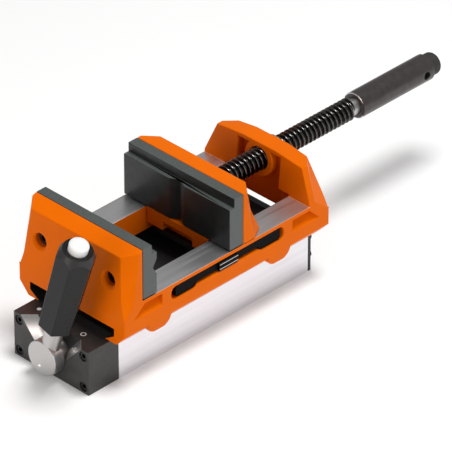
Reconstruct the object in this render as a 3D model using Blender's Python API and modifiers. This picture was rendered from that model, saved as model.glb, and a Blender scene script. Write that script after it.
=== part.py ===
# Magnetic vise: a drill-press vise on a switchable magnetic base.
# Metres, +Z up. X runs across the jaws, Y from the switch lever to the spindle handle.
# The origin is the centre of the magnet's bottom face.
import math

import bmesh
import bpy
from mathutils import Matrix, Vector

# Driving sizes
fit = 0.0003
over = 0.0010
sides = 32

# Magnet base
magnet_width = 0.0710
magnet_height = 0.0343
switch_length = 0.0275
pole_length = 0.1796
top_cover_thickness = 0.0018
end_cover_thickness = 0.0024
spacer_width = 0.0054
spacer_wall = 0.0037
screw_inset_x = 0.0051
screw_inset_z = 0.0050
cap_head_radius = 0.0034
cap_head_height = 0.0040
cap_shank_radius = 0.0020
cap_screw_bite = 0.0070
tap_spare = 0.0015
socket_radius = 0.0015
socket_depth = 0.0015
head_sink = 0.0007
dome_radius = 0.0030
dome_height = 0.0016
dome_inset_x = 0.0030
dome_heights = (0.0124, 0.0265)
dome_screw_bite = 0.0070
dome_shank_radius = 0.0015
base_screw_x = 0.0236
base_screw_sink = 0.0015

# Switch rotor and lever
hub_height = 0.0170
hub_radius = 0.0130
hub_reach = 0.0090
journal_radius = 0.0095
rotor_radius = 0.0124
rotor_flat = 0.0106
rotor_end_gap = 0.0050
spacer_gap = 0.0003
shaft_radius = 0.0050
bush_length = 0.0080
lever_tilt = math.radians(17.5)
lever_forward = 0.0035
neck_width = 0.0090
neck_depth = 0.0105
neck_top = 0.0300
neck_chamfer = 0.0020
grip_foot_radius = 0.0095
grip_foot_length = 0.0060
grip_root_radius = 0.0115
grip_radius = 0.0143
grip_rim_radius = 0.0105
grip_flat = 0.0123
grip_length = 0.0727
grip_shoulder = 0.0090
button_radius = 0.0072
button_crown_radius = 0.00396
button_crown_drop = 0.0004
button_shoulder_radius = 0.006336
button_shoulder_drop = 0.0014
button_edge_drop = 0.0030
button_length = 0.0150
button_proud = 0.0070
button_stroke = 0.0040
spring_wire = 0.0005
spring_length = 0.0060
spring_inset = 0.0020
relief_angle = math.radians(42)
relief_offset = 0.0098
relief_depth = 0.0080
relief_spare = 0.0020
hub_pin_radius = 0.0018
hub_pin_offset = 0.0070
hub_pin_depth = 0.0050

# Vise body
body_setback = 0.0194
body_overhang = 0.0049
body_width = 0.1000
edge = 0.0010
foot_height = 0.0086
foot_outer = 0.0420
foot_inner = 0.0310
tee_half = 0.0395
tee_floor = 0.0054
tee_height = 0.0111
way_inner = 0.0297
way_depth = 0.0192
shoulder_drop = 0.0084
way_overlap = 0.0060
floor_thickness = 0.0050
floor_length = 0.0220
floor_inset = 0.0120

# Jaws
jaw_height = 0.0399
jaw_seat = 0.0170
jaw_front_slope = 0.0040
jaw_top_inset = 0.0046
jaw_waist_inset = 0.0011
jaw_waist_rise = 0.0103
jaw_corner_x = 0.0080
jaw_corner_y = 0.0090
jaw_waist_x = 0.0039
jaw_waist_y = 0.0075
plate_gap = 0.0003
plate_thickness = 0.0127
plate_step = 0.0044
plate_step_height = 0.0070
groove_height = 0.0215
groove_half = 0.0057
groove_depth = 0.0035
groove_spare = 0.0016
prism_half = 0.0073
prism_depth = 0.0036
opening = 0.0678
jaw_screw_x = 0.0323
jaw_screw_z = 0.0157
jaw_screw_head_radius = 0.0049
jaw_screw_head_height = 0.0050
jaw_screw_radius = 0.0030
jaw_screw_bite = 0.0075
jaw_screw_grip = 0.0050
countersink = 0.0015

# Moving jaw
moving_jaw_depth = 0.0119
moving_jaw_waist = 0.0157
moving_jaw_foot = 0.0215
moving_jaw_waist_rise = 0.0171
moving_jaw_flanks = (0.0107, 0.0067, 0.0034)
moving_jaw_insets = (0.0060, 0.0090, 0.0100)
keeper_thickness = 0.0045
keeper_length = 0.0280
keeper_width = 0.0770
keeper_chamfer = 0.0020
keeper_screw_x = 0.0160
keeper_screw_head = 0.0022
keeper_screw_bite = 0.0075
tongue_front = 0.0125
tongue_length = 0.0190
web_height = 0.0060
shoe_height = 0.0125
shoe_inner = 0.0140
boss_half = 0.0170
boss_top = 0.0152
boss_depth = 0.0188

# Spindle
spindle_height = 0.0808
spindle_radius = 0.0080
core_radius = 0.0059
thread_pitch = 0.0040
thread_sides = 16
head_radius = 0.0075
head_length = 0.0054
neck_radius = 0.0050
fork_thickness = 0.0040
fork_width = 0.0300
fork_height = 0.0260
fork_screw_inset = 0.0036
fork_screw_head = 0.0022
fork_screw_head_radius = 0.0027
fork_screw_radius = 0.0015
fork_screw_bite = 0.0065
thread_length = 0.1292
neck_root = 0.0020
tail_radius = 0.0052
tail_length = 0.0160
nut_radius = 0.0110
nut_collar_radius = 0.0150
nut_collar = 0.0030
nut_lip = 0.0030
handle_radius = 0.0097
handle_length = 0.0937
handle_neck_radius = 0.0078
handle_ring = 0.0120
handle_groove = 0.0008
handle_groove_inset = 0.0155
handle_dome = 0.0050
tommy_radius = 0.0030
tommy_inset = 0.0250
handle_pin_radius = 0.0015
handle_pin_inset = 0.0100

# Rear upright
upright_height = 0.0282
upright_thickness = 0.0187
upright_lean = 0.0024
upright_waist_x = 0.0050
upright_top_x = 0.0100
upright_top_y = 0.0050
upright_back = 0.0030
upright_crown = 0.0025
upright_crown_half = 0.0160
alcove_half = 0.0200
alcove_depth = 0.0080
alcove_top = 0.0090
spindle_boss_radius = 0.0130

# Side slots and pockets
slot_top = 0.0029
slot_height = 0.0080
bulb_height = 0.0100
slot_length = 0.1060
bulb_length = 0.0180
slot_depth = 0.0085
slot_round = 0.0035
slot_shoulder = 0.0040
liner_thickness = 0.0040
catch_length = 0.0170
catch_height = 0.0054
catch_proud = 0.0030
pocket_length = 0.0260
pocket_skew = 0.0098
pocket_end = 0.0090
pocket_height = 0.0092
pocket_depth = 0.0060
pocket_ramp = 0.0074
lug_length = 0.0250
lug_inset = 0.0185
lug_taper = 0.0040
lug_side = 0.0045
lug_root = 0.0405

# Places worked out from the sizes
total_length = switch_length + fit + pole_length + fit + end_cover_thickness
front_y = -total_length / 2
pole_front = front_y + switch_length + fit
pole_back = pole_front + pole_length
cover_front = pole_back + fit
cover_back = cover_front + end_cover_thickness
half_width = magnet_width / 2
pole_top = magnet_height - top_cover_thickness - fit
bore_radius = rotor_radius + fit
base_z = magnet_height + fit
rail_z = base_z + foot_height
tee_z = base_z + tee_height
way_z = tee_z + way_depth
shoulder_z = way_z - shoulder_drop
body_front = front_y + body_setback
body_back = pole_back + body_overhang
body_length = body_back - body_front
body_middle = (body_front + body_back) / 2
half_body = body_width / 2
seat_y = body_front + jaw_seat
jaw_z = way_z + jaw_height
plate_back = seat_y + plate_gap
plate_front = plate_back + plate_thickness
moving_plate_front = plate_front + opening
moving_plate_back = moving_plate_front + plate_thickness
moving_y = moving_plate_back + plate_gap
upright_y = body_back - upright_thickness
upright_z = way_z + upright_height
jaw_screw_height = way_z + jaw_screw_z
jaw_waist_z = shoulder_z + jaw_waist_rise
fixed_rise = (jaw_screw_height - jaw_waist_z) / (jaw_z - jaw_front_slope - jaw_waist_z)
moving_rise = jaw_screw_z / moving_jaw_waist_rise
boss_back = moving_y + boss_depth
keeper_y = moving_y + tongue_length / 2
fork_front = boss_back + fit
fork_back = fork_front + fork_thickness
head_back = boss_back - fit
head_front = head_back - head_length
thread_front = fork_back + fit
thread_back = thread_front + thread_length
handle_front = thread_back + fit
tunnel_half = foot_inner + (tee_half - foot_inner) / 4
base_screw_seat = base_screw_sink + cap_head_height
floor_middles = (body_front + floor_inset + floor_length / 2, body_back - floor_inset - floor_length / 2)
base_screw_places = [(sx * base_screw_x, y) for sx in (-1, 1) for y in floor_middles]
dome_screws = [(sx * (half_width - dome_inset_x), z) for sx in (-1, 1) for z in dome_heights]
fork_screw_x = fork_width / 2 - fork_screw_inset
fork_screw_z = fork_height / 2 - fork_screw_inset
fork_screw_places = [(sx * fork_screw_x, spindle_height + sz * fork_screw_z)
                     for sx in (-1, 1) for sz in (-1, 1)]
corner_screws = [(sx * (half_width - screw_inset_x), hub_height + sz * (hub_height - screw_inset_z))
                 for sx in (-1, 1) for sz in (-1, 1)]


# Scene set-up

for old in list(bpy.data.objects):
    bpy.data.objects.remove(old, do_unlink=True)

parts = bpy.data.collections.new("magnetic_vise")
cutters = bpy.data.collections.new("cutters")
bpy.context.scene.collection.children.link(parts)
bpy.context.scene.collection.children.link(cutters)


def material(name, colour, roughness, metallic=0.0):
    mat = bpy.data.materials.new(name)
    mat.use_nodes = True
    shader = mat.node_tree.nodes["Principled BSDF"]
    shader.inputs["Base Color"].default_value = (*colour, 1)
    shader.inputs["Roughness"].default_value = roughness
    shader.inputs["Metallic"].default_value = metallic
    return mat


orange = (0.80, 0.16, 0.01)
black = (0.02, 0.02, 0.022)
steel = (0.55, 0.55, 0.56)
dark_steel = (0.10, 0.11, 0.12)
bronze = (0.55, 0.36, 0.15)


# Mesh helpers

def about_y(angle):
    return Matrix.Rotation(angle, 4, "Y")


def add_box(bm, x, y, z):
    """A box between two corners, each axis given as a pair."""
    size = [b - a for a, b in (x, y, z)]
    middle = [(a + b) / 2 for a, b in (x, y, z)]
    place = Matrix.Translation(middle) @ Matrix.Diagonal((*size, 1))
    bmesh.ops.create_cube(bm, size=1, matrix=place)
    return bm


def add_rod(bm, radius, start, end, count=sides, far_radius=None):
    """A cylinder or cone between two points."""
    start, end = Vector(start), Vector(end)
    run = end - start
    turn = Vector((0, 0, 1)).rotation_difference(run).to_matrix().to_4x4()
    place = Matrix.Translation((start + end) / 2) @ turn
    bmesh.ops.create_cone(bm, cap_ends=True, segments=count, radius1=radius,
                          radius2=radius if far_radius is None else far_radius,
                          depth=run.length, matrix=place)
    return bm


def from_bmesh(name, bm, place=None):
    """A new object, with its points on a fine grid so that faces meant to be level are exactly level."""
    for vert in bm.verts:
        vert.co = [round(value, 6) for value in vert.co]
    mesh = bpy.data.meshes.new(name)
    bm.to_mesh(mesh)
    bm.free()
    obj = bpy.data.objects.new(name, mesh)
    if place is not None:
        obj.matrix_world = place
    return obj


def box(name, x, y, z):
    return from_bmesh(name, add_box(bmesh.new(), x, y, z))


def rod(name, radius, start, end, **more):
    return from_bmesh(name, add_rod(bmesh.new(), radius, start, end, **more))


def face_outwards(bm):
    bmesh.ops.recalc_face_normals(bm, faces=bm.faces)
    if bm.calc_volume(signed=True) < 0:
        bmesh.ops.reverse_faces(bm, faces=bm.faces)


def applied(obj):
    """The object with its modifiers, or its curve, turned into a plain mesh in place."""
    parts.objects.link(obj)
    bpy.context.view_layer.update()
    seen = obj.evaluated_get(bpy.context.evaluated_depsgraph_get())
    mesh = bpy.data.meshes.new_from_object(seen)
    bm = bmesh.new()
    bm.from_mesh(mesh)
    bmesh.ops.remove_doubles(bm, verts=bm.verts, dist=0.00001)
    bm.transform(obj.matrix_world)
    face_outwards(bm)
    name = obj.name
    bpy.data.objects.remove(obj, do_unlink=True)
    bpy.data.meshes.remove(mesh)
    return from_bmesh(name, bm)


# Columns of each matrix are where the outline's own x, y and depth axes point.
along_x = Matrix(((0, 0, 1, 0), (1, 0, 0, 0), (0, 1, 0, 0), (0, 0, 0, 1)))
along_y = Matrix(((1, 0, 0, 0), (0, 0, -1, 0), (0, 1, 0, 0), (0, 0, 0, 1)))
along_z = Matrix.Identity(4)


def outline(name, points, depth, axis, centre):
    """A flat outline as a filled curve, given a thickness along the axis."""
    curve = bpy.data.curves.new(name, "CURVE")
    curve.dimensions = "2D"
    curve.fill_mode = "BOTH"
    curve.extrude = depth / 2
    line = curve.splines.new("POLY")
    line.points.add(len(points) - 1)
    for point, place in zip(line.points, points):
        point.co = (*place, 0, 1)
    line.use_cyclic_u = True
    obj = bpy.data.objects.new(name, curve)
    obj.matrix_world = Matrix.Translation(centre) @ axis
    return applied(obj)


def turned(name, profile, place, count=sides, turns=1, climb=0.0):
    """A turned shape: a profile of radius and height, top to bottom, with a Screw modifier."""
    mesh = bpy.data.meshes.new(name)
    spots = [(radius, 0, height) for radius, height in profile]
    mesh.from_pydata(spots, [(i, i + 1) for i in range(len(spots) - 1)], [])
    obj = bpy.data.objects.new(name, mesh)
    screw = obj.modifiers.new("turn", "SCREW")
    screw.steps = count
    screw.render_steps = count
    screw.iterations = turns
    screw.screw_offset = climb
    screw.use_merge_vertices = climb == 0
    screw.merge_threshold = 0.00001
    obj.matrix_world = place
    return applied(obj)


def loft(name, sections):
    """A skin over rings of points that have the same number of points, closed at both ends."""
    bm = bmesh.new()
    rings = [[bm.verts.new(place) for place in section] for section in sections]
    for low, high in zip(rings, rings[1:]):
        for i in range(len(low)):
            bm.faces.new((low[i - 1], low[i], high[i], high[i - 1]))
    bm.faces.new(rings[0])
    bm.faces.new(rings[-1])
    face_outwards(bm)
    return from_bmesh(name, bm)


def boolean(obj, tool, operation):
    step = obj.modifiers.new(tool.name, "BOOLEAN")
    step.operation = operation
    step.solver = "EXACT"
    step.object = tool
    cutters.objects.link(tool)
    tool.hide_render = True
    tool.display_type = "WIRE"


def cut(obj, *tools):
    for tool in tools:
        boolean(obj, tool, "DIFFERENCE")


def join(obj, *tools):
    for tool in tools:
        boolean(obj, tool, "UNION")


def finish(obj, colour, roughness, metallic=0.0, parent=None):
    """Puts a finished piece in the collection, with its own material and parent."""
    parts.objects.link(obj)
    obj.data.materials.append(material(obj.name, colour, roughness, metallic))
    obj.data.shade_smooth()
    obj.data.set_sharp_from_angle(angle=math.radians(35))
    if parent is not None:
        bpy.context.view_layer.update()
        obj.parent = parent
        obj.matrix_parent_inverse = parent.matrix_world.inverted()
    return obj


def pivot(name, place):
    empty = bpy.data.objects.new(name, None)
    empty.matrix_world = place
    parts.objects.link(empty)
    return empty


def cap_screw(name, place, head_radius, head_height, shank_radius, shank_length, parent=None):
    """A socket screw with its head's underside at the place's origin and its head along +Z."""
    floor = head_height - socket_depth
    profile = [(0, floor), (socket_radius, floor), (socket_radius, head_height), (head_radius, head_height),
               (head_radius, 0), (shank_radius, 0), (shank_radius, -shank_length), (0, -shank_length)]
    finish(turned(name, profile, place, count=12), dark_steel, 0.4, 1.0, parent)


def toward(axis, point):
    """A frame at the point whose +Z runs along the axis."""
    turn = Vector((0, 0, 1)).rotation_difference(Vector(axis)).to_matrix().to_4x4()
    return Matrix.Translation(point) @ turn


# Switch block: black housing at the front, with a relief for the lever and four screws

def switch_block():
    obj = box("switch_block", (-half_width, half_width), (front_y, pole_front - fit), (0, magnet_height))
    back = pole_front
    journal = rod("journal_bore", journal_radius + fit, (0, front_y - over, hub_height),
                  (0, back, hub_height))
    cut(obj, journal)
    sine, cosine = math.sin(relief_angle), math.cos(relief_angle)
    rings = []
    top = magnet_height + relief_spare
    low = hub_height - relief_spare
    for shrink, y in ((-over, front_y - over), (relief_depth, front_y + relief_depth)):
        offset = relief_offset - shrink * cosine
        wide = (offset + (top - hub_height) * sine) / cosine
        narrow = max((offset + (low - hub_height) * sine) / cosine, over)
        rings.append([(wide, y, top), (-wide, y, top), (-narrow, y, low), (narrow, y, low)])
    cut(obj, loft("relief", rings))
    seat = front_y + head_sink + cap_head_height
    for x, z in corner_screws:
        cut(obj, rod("head_hole", cap_head_radius + fit, (x, front_y - over, z), (x, seat + fit, z),
                     count=16),
            rod("shank_hole", cap_shank_radius + fit, (x, front_y, z), (x, back, z), count=12))
    finish(obj, black, 0.5)
    for number, (x, z) in enumerate(corner_screws, 1):
        cap_screw(f"switch_block_screw_{number}", toward((0, -1, 0), (x, seat, z)), cap_head_radius,
                  cap_head_height, cap_shank_radius, pole_front + cap_screw_bite - seat)


# Pole shoes: two steel halves round the rotor bore, kept apart by brass strips

def pole_shoe(name, side):
    inner = side * (spacer_width / 2)
    outer = side * half_width
    obj = box(name, sorted((inner, outer)), (pole_front, pole_back), (0, pole_top))
    cut(obj, rod("rotor_bore", bore_radius, (0, pole_front - over, hub_height),
                 (0, pole_back + over, hub_height)))
    tap = cap_shank_radius + fit
    for x, z in corner_screws:
        if x * side > 0:
            cut(obj, rod("tapped_hole", tap, (x, pole_front - over, z),
                         (x, pole_front + cap_screw_bite + tap_spare, z), count=12))
    for x, z in dome_screws:
        if x * side > 0:
            cut(obj, rod("tapped_hole", dome_shank_radius + fit, (x, pole_back + over, z),
                         (x, pole_back - dome_screw_bite - tap_spare, z), count=12))
    for x, y in base_screw_places:
        if x * side > 0:
            seat = base_screw_seat + fit
            cut(obj, rod("counterbore", cap_head_radius + fit, (x, y, -over), (x, y, seat), count=16),
                rod("through_hole", tap, (x, y, 0), (x, y, magnet_height), count=12))
    finish(obj, steel, 0.35, 1.0)


def spacers():
    half = spacer_width / 2 - spacer_gap
    top_low = hub_height + bore_radius + spacer_gap
    for name, low, high in (("spacer_bottom", 0, spacer_wall), ("spacer_top", top_low, pole_top)):
        finish(box(name, (-half, half), (pole_front, pole_back), (low, high)), bronze, 0.4, 1.0)


def top_cover():
    obj = box("magnet_top_cover", (-half_width, half_width), (pole_front, pole_back),
              (pole_top + fit, magnet_height))
    for x, y in base_screw_places:
        cut(obj, rod("through_hole", cap_shank_radius + fit, (x, y, 0), (x, y, base_z), count=12))
    finish(obj, black, 0.45)


def end_cover():
    obj = box("end_cover", (-half_width, half_width), (cover_front, cover_back), (0, magnet_height))
    for x, z in dome_screws:
        cut(obj, rod("shank_hole", dome_shank_radius + fit, (x, cover_front - over, z),
                     (x, cover_back + over, z), count=12))
    finish(obj, black, 0.4)
    arc = [(dome_radius * math.sin(a), dome_height * math.cos(a)) for a in
           [math.radians(step * 90 / 4) for step in range(5)]]
    reach = cover_back + fit - pole_back + dome_screw_bite
    profile = arc + [(dome_shank_radius, 0), (dome_shank_radius, -reach), (0, -reach)]
    for number, (x, z) in enumerate(dome_screws, 1):
        place = toward((0, 1, 0), (x, cover_back + fit, z))
        finish(turned(f"end_cover_screw_{number}", profile, place, count=12), black, 0.4, 1.0)


def base_screws():
    for number, (x, y) in enumerate(base_screw_places, 1):
        cap_screw(f"base_screw_{number}", toward((0, 0, -1), (x, y, base_screw_seat)), cap_head_radius,
                  cap_head_height, cap_shank_radius, base_z + floor_thickness - tap_spare - base_screw_seat)


# Rotor: a magnet with two flats on a shaft that the lever's hub turns by 90 degrees

rotor_front = pole_front + bush_length + rotor_end_gap
rotor_back = pole_back - bush_length - rotor_end_gap


def lever_frame():
    return Matrix.Translation((0, 0, hub_height)) @ about_y(lever_tilt)


def rotor(parent):
    obj = rod("magnet_rotor", rotor_radius, (0, rotor_front, hub_height), (0, rotor_back, hub_height))
    cut(obj, rod("shaft_hole", shaft_radius + fit, (0, rotor_front - over, hub_height),
                 (0, rotor_back + over, hub_height), count=24))
    for side in (-1, 1):
        bm = bmesh.new()
        reach = rotor_radius * 1.5
        add_box(bm, sorted((side * rotor_flat, side * reach)),
                (rotor_front - over, rotor_back + over), (-reach, reach))
        cut(obj, from_bmesh("rotor_flat", bm, lever_frame()))
    finish(obj, dark_steel, 0.5, 0.6, parent)
    obj = rod("rotor_shaft", shaft_radius, (0, pole_front, hub_height), (0, pole_back, hub_height), count=24)
    finish(obj, steel, 0.3, 1.0, parent)


def bushes():
    for name, start in (("front_bush", pole_front + fit), ("back_bush", pole_back - bush_length)):
        obj = rod(name, bore_radius - fit, (0, start, hub_height), (0, start + bush_length, hub_height))
        cut(obj, rod("bush_bore", shaft_radius + fit, (0, start - 0.001, hub_height),
                     (0, start + bush_length + 0.001, hub_height), count=24))
        finish(obj, bronze, 0.4, 1.0)


# Lever: hub with a neck, a grip with four flats, and the lock button in its end

def lever(parent):
    frame = lever_frame()
    neck_y = front_y - lever_forward
    rim = hub_radius - edge
    profile = [(0, hub_reach), (rim, hub_reach), (hub_radius, hub_reach - edge), (hub_radius, fit),
               (journal_radius, fit), (journal_radius, -switch_length), (0, -switch_length)]
    obj = turned("lever_hub", profile, toward((0, -1, 0), (0, front_y, hub_height)))
    wide, deep = neck_width / 2, neck_depth / 2
    corners = [(wide, -deep + neck_chamfer), (wide, deep - neck_chamfer), (wide - neck_chamfer, deep),
               (neck_chamfer - wide, deep), (-wide, deep - neck_chamfer), (-wide, neck_chamfer - deep),
               (neck_chamfer - wide, -deep), (wide - neck_chamfer, -deep)]
    neck_foot = hub_radius * 0.7
    neck = outline("neck", corners, neck_top - neck_foot, along_z, (0, neck_y, (neck_top + neck_foot) / 2))
    neck.matrix_world = frame
    block_side = add_box(bmesh.new(), (-hub_radius, hub_radius), (front_y - fit, front_y + neck_depth),
                         (0, hub_radius + over))
    cut(neck, from_bmesh("hub_clear", block_side, frame))
    join(obj, neck)
    hole = toward((0, -1, 0), frame @ Vector((0, front_y, -hub_pin_offset)))
    floor = hub_reach - hub_pin_depth
    bm = add_rod(bmesh.new(), hub_pin_radius + fit, (0, 0, floor), (0, 0, hub_reach + over), count=16)
    cut(obj, from_bmesh("pin_hole", bm, hole))
    finish(obj, steel, 0.35, 1.0, parent)

    bm = add_rod(bmesh.new(), hub_pin_radius, (0, 0, floor + fit), (0, 0, hub_reach - fit), count=16)
    finish(from_bmesh("hub_pin", bm, hole), steel, 0.3, 1.0, parent)

    foot = neck_top + fit
    top = foot + grip_length
    bore = button_radius + fit
    bore_floor = top - button_length - button_stroke - spring_length - 3 * fit
    place = frame @ Matrix.Translation((0, neck_y, 0))
    profile = [(0, bore_floor), (bore, bore_floor), (bore, top), (grip_rim_radius, top),
               ((grip_rim_radius + 3 * grip_radius) / 4, top - grip_shoulder * 0.45),
               (grip_radius, top - grip_shoulder), (grip_root_radius, foot + grip_foot_length),
               (grip_foot_radius, foot), (0, foot)]
    obj = turned("lever_grip", profile, place)
    far = grip_radius * 2
    for turn in range(4):
        bm = add_box(bmesh.new(), (grip_flat, far), (-far, far), (foot - over, top + over))
        cut(obj, from_bmesh("grip_flat", bm, place @ Matrix.Rotation(turn * math.pi / 2, 4, "Z")))
    finish(obj, black, 0.55, 0.0, parent)
    return place, top


def lock_button(parent, place, top):
    low = top - button_length
    high = top + button_proud
    profile = [(0, high), (button_crown_radius, high - button_crown_drop),
               (button_shoulder_radius, high - button_shoulder_drop),
               (button_radius, high - button_edge_drop), (button_radius, low), (0, low)]
    finish(turned("lock_button", profile, place), (0.85, 0.85, 0.85), 0.3, 0.0, parent)


def lock_spring(parent, place, top):
    """The spring lies below the button, in the grip's bore."""
    high = top - button_length - fit - spring_wire
    low = high - spring_length + 2 * spring_wire
    turns, per_turn = 3, 12
    radius = button_radius - spring_inset
    curve = bpy.data.curves.new("lock_spring", "CURVE")
    curve.dimensions = "3D"
    curve.bevel_depth = spring_wire
    curve.bevel_resolution = 1
    curve.use_fill_caps = True
    line = curve.splines.new("POLY")
    count = turns * per_turn
    line.points.add(count)
    for i, point in enumerate(line.points):
        angle = 2 * math.pi * i / per_turn
        point.co = (radius * math.cos(angle), radius * math.sin(angle), low + (high - low) * i / count, 1)
    obj = bpy.data.objects.new("lock_spring", curve)
    obj.matrix_world = place
    finish(applied(obj), steel, 0.3, 1.0, parent)


# Vise body: slideways over a T-shaped tunnel, with the fixed jaw and the rear upright cast on

def half_ring(points, z_at):
    """A ring from the right-hand points of a section, mirrored to the left."""
    right = [(x, y, z_at(y)) for x, y in points]
    left = [(-x, y, z_at(y)) for x, y in reversed(points)]
    return right + left


def fixed_jaw_loft():
    top_front = body_front + jaw_top_inset
    slope = jaw_front_slope / (seat_y - top_front)
    low = [(half_body, seat_y), (half_body, body_front + edge), (half_body - edge, body_front)]
    waist_y = body_front + jaw_waist_inset
    waist = [(half_body, seat_y), (half_body, waist_y + jaw_waist_y), (half_body - jaw_waist_x, waist_y)]
    top = [(half_body, seat_y), (half_body, top_front + jaw_corner_y), (half_body - jaw_corner_x, top_front)]
    return loft("fixed_jaw", [half_ring(low, lambda y: tee_z), half_ring(low, lambda y: shoulder_z),
                              half_ring(waist, lambda y: jaw_waist_z),
                              half_ring(top, lambda y: jaw_z - (seat_y - y) * slope)])


def rear_upright_loft():
    low = [(half_body, upright_y), (half_body, body_back - edge), (half_body - edge, body_back)]
    back = body_back - jaw_waist_inset
    waist = [(half_body, upright_y), (half_body, upright_y + upright_top_y),
             (half_body - upright_waist_x, back)]
    top_y = upright_y + upright_lean
    top_back = body_back - upright_back
    top_half = half_body - upright_top_x
    top = [(top_half, top_y), (top_half, top_y + upright_top_y), (top_half - jaw_corner_x, top_back)]
    crown = [(upright_crown_half, top_y), (upright_crown_half, top_y + upright_top_y),
             (upright_crown_half - edge, top_back)]
    return loft("rear_upright", [half_ring(low, lambda y: tee_z), half_ring(low, lambda y: shoulder_z),
                                 half_ring(waist, lambda y: jaw_waist_z),
                                 half_ring(top, lambda y: upright_z - upright_crown),
                                 half_ring(crown, lambda y: upright_z)])


def slot_outline():
    """The dog-bone slot in a side wall: straight top, a deeper bulb at each end."""
    top = way_z - slot_top
    mid, deep = top - slot_height, top - bulb_height
    half = slot_length / 2
    inner = half - bulb_length
    r = slot_round
    right = [(half - r, top), (half - r * 0.3, top - r * 0.3), (half, top - r), (half, deep + r),
             (half - r * 0.3, deep + r * 0.3), (half - r, deep), (inner + slot_shoulder, deep), (inner, mid)]
    left = [(-y, z) for y, z in reversed(right)]
    return right + left


def pocket_cutter(side, end):
    """A wedge-shaped pocket: deepest at its top edge, with its floor rising to the face below."""
    top = way_z - slot_top
    low = top - pocket_height
    outer = (body_length / 2 - pocket_end) * end
    inner = body_middle + outer - pocket_length * end
    rings = []
    for depth in (-over, pocket_depth):
        z = low + pocket_ramp * depth / pocket_depth
        x = side * (half_body - depth)
        skew = body_middle + outer - end * pocket_skew * (z - low) / pocket_height
        top_skew = body_middle + outer - end * pocket_skew
        rings.append([(x, skew, z), (x, top_skew, top), (x, inner, top), (x, inner, z)])
    return loft("pocket", rings)


def vise_body():
    profile = [(-foot_outer, base_z), (foot_outer, base_z), (half_body, rail_z), (half_body, shoulder_z),
               (-half_body, shoulder_z), (-half_body, rail_z)]
    obj = outline("vise_body", profile, body_length, along_y, (0, body_middle, 0))
    reach = (seat_y - way_overlap, upright_y + way_overlap)
    ways = box("ways", (-half_body, half_body), reach, (tee_z, way_z))
    join(obj, ways, fixed_jaw_loft(), rear_upright_loft())
    for side in (-1, 1):
        for end in (-1, 1):
            join(obj, lug(side, body_middle + end * (body_length / 2 - lug_inset - lug_length / 2)))
    tunnel = [(-foot_inner, base_z - over), (foot_inner, base_z - over), (foot_inner, base_z),
              (tee_half, base_z + tee_floor), (tee_half, tee_z), (-tee_half, tee_z),
              (-tee_half, base_z + tee_floor), (-foot_inner, base_z)]
    cut(obj, outline("tunnel", tunnel, body_length + 2 * over, along_y, (0, body_middle, 0)),
        box("way_gap", (-way_inner, way_inner), (seat_y, upright_y + way_overlap / 2),
            (tee_z - over, way_z + over)))
    for middle in floor_middles:
        reach = (middle - floor_length / 2, middle + floor_length / 2)
        join(obj, box("floor", (-tunnel_half, tunnel_half), reach, (base_z, base_z + floor_thickness)))
    for x, y in base_screw_places:
        cut(obj, rod("tapped_hole", cap_shank_radius + fit, (x, y, base_z - over),
                     (x, y, base_z + floor_thickness + over), count=12))
    cut_upright(obj)
    cut_sides(obj)
    surface = body_front + between(jaw_waist_inset, jaw_top_inset, fixed_rise)
    cut_jaw_screw_holes(obj, surface, seat_y, 1)
    finish(obj, orange, 0.4)


def between(low, high, share):
    return low + (high - low) * share


def lug(side, middle):
    """A bolting lug that hangs below the rail, tapering inwards."""
    half = lug_length / 2
    rings = []
    for z, x, reach in ((rail_z + edge, half_body, half), (rail_z, half_body, half),
                        (base_z + fit, half_body - lug_side, half - lug_taper)):
        rings.append([(side * x, middle - reach, z), (side * x, middle + reach, z),
                      (side * lug_root, middle + reach, z), (side * lug_root, middle - reach, z)])
    return loft("lug", rings)


def cut_upright(obj):
    alcove = box("alcove", (-alcove_half, alcove_half), (upright_y - over, upright_y + alcove_depth),
                 (tee_z - over / 2, spindle_height + alcove_top))
    cut(alcove, rod("boss_clear", spindle_boss_radius, (0, upright_y, spindle_height),
                    (0, body_back, spindle_height)))
    cut(obj, alcove,
        rod("nut_bore", nut_radius + fit, (0, upright_y + nut_lip, spindle_height),
            (0, body_back + over, spindle_height)),
        rod("spindle_bore", spindle_radius + 2 * fit, (0, upright_y - over, spindle_height),
            (0, upright_y + nut_lip + over, spindle_height)))


def cut_sides(obj):
    for side in (-1, 1):
        centre = (side * (half_body - (slot_depth - over) / 2), body_middle, 0)
        cut(obj, outline("side_slot", slot_outline(), slot_depth + over, along_x, centre))
        for end in (-1, 1):
            cut(obj, pocket_cutter(side, end))


def cut_jaw_screw_holes(obj, surface, seat, direction):
    """Two stepped holes from a jaw's outer surface: a countersunk mouth, a head bore and a shank bore."""
    reach = abs(seat - surface)
    bore = jaw_screw_head_radius + fit
    shank = jaw_screw_radius + fit
    mouth = bore + countersink + countersink
    profile = [(0, reach + countersink), (mouth, reach + countersink), (bore, reach - countersink),
               (bore, jaw_screw_grip), (shank, jaw_screw_grip), (shank, -over), (0, -over)]
    for side in (-1, 1):
        place = toward((0, -direction, 0), (side * jaw_screw_x, seat, jaw_screw_height))
        cut(obj, turned("screw_hole", profile, place, count=20))


def jaw_screws(name, seat, direction, parent=None):
    under = seat - direction * (jaw_screw_grip + fit)
    for side, word in ((-1, "left"), (1, "right")):
        place = toward((0, -direction, 0), (side * jaw_screw_x, under, jaw_screw_height))
        cap_screw(f"{name}_{word}", place, jaw_screw_head_radius, jaw_screw_head_height, jaw_screw_radius,
                  jaw_screw_grip + plate_gap + jaw_screw_bite, parent)


# Slot liners and catches in the body's side slots

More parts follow.
